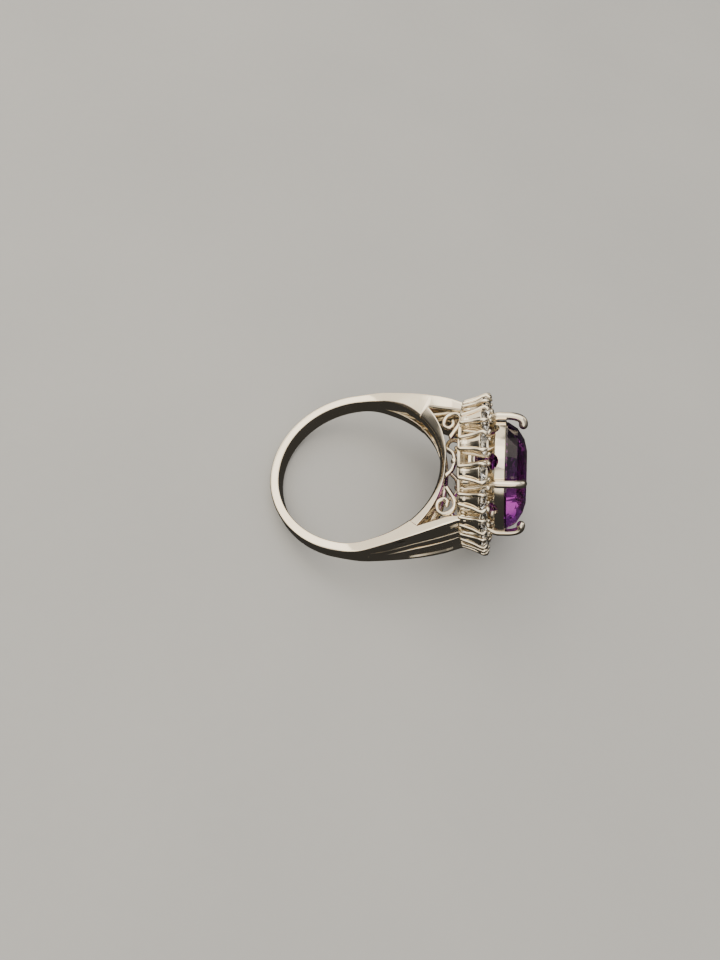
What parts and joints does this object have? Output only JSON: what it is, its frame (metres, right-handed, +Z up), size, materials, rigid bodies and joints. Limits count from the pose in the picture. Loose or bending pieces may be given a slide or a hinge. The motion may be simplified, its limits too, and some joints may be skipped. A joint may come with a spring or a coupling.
{
  "type": "cocktail ring",
  "caption": "Oval cluster cocktail ring lying on its side: claw-set centre stone over a halo of small stones, split ridged shoulders, plain band.",
  "frame": {"origin": "on the floor, under the centre of the lying ring's bounding box", "axes": "+Z up, +X from the back of the band towards the head, +Y across the finger; the ring lies on its side, so its finger axis leans 20.2 degrees from +Z towards -X"},
  "size_m": [0.0272, 0.0194, 0.0176],
  "materials": {
    "silver": "polished white metal",
    "amethyst": "polished faceted purple stone",
    "white_stone": "polished faceted colourless stone"
  },
  "bodies": {
    "root": {"arch_back": "silver", "arch_front": "silver", "bridge_rail_back": "silver", "bridge_rail_front": "silver", "centre_collet": "silver", "centre_seat_ring": "silver", "centre_stone": "amethyst", "claw_1": "silver", "claw_2": "silver", "claw_3": "silver", "claw_4": "silver", "gallery_frame": "silver", "halo_setting_01": "silver", "halo_setting_02": "silver", "halo_setting_03": "silver", "halo_setting_04": "silver", "halo_setting_05": "silver", "halo_setting_06": "silver", "halo_setting_07": "silver", "halo_setting_08": "silver", "halo_setting_09": "silver", "halo_setting_10": "silver", "halo_setting_11": "silver", "halo_setting_12": "silver", "halo_setting_13": "silver", "halo_setting_14": "silver", "halo_setting_15": "silver", "halo_setting_16": "silver", "halo_setting_17": "silver", "halo_setting_18": "silver", "halo_stone_01": "white_stone", "halo_stone_02": "white_stone", "halo_stone_03": "white_stone", "halo_stone_04": "white_stone", "halo_stone_05": "white_stone", "halo_stone_06": "white_stone", "halo_stone_07": "white_stone", "halo_stone_08": "white_stone", "halo_stone_09": "white_stone", "halo_stone_10": "white_stone", "halo_stone_11": "white_stone", "halo_stone_12": "white_stone", "halo_stone_13": "white_stone", "halo_stone_14": "white_stone", "halo_stone_15": "white_stone", "halo_stone_16": "white_stone", "halo_stone_17": "white_stone", "halo_stone_18": "white_stone", "scroll_back_left": "silver", "scroll_back_right": "silver", "scroll_front_left": "silver", "scroll_front_right": "silver", "shank": "silver", "shoulder_left_back": "silver", "shoulder_left_front": "silver", "shoulder_left_middle": "silver", "shoulder_right_back": "silver", "shoulder_right_front": "silver", "shoulder_right_middle": "silver"}
  },
  "joints": []
}
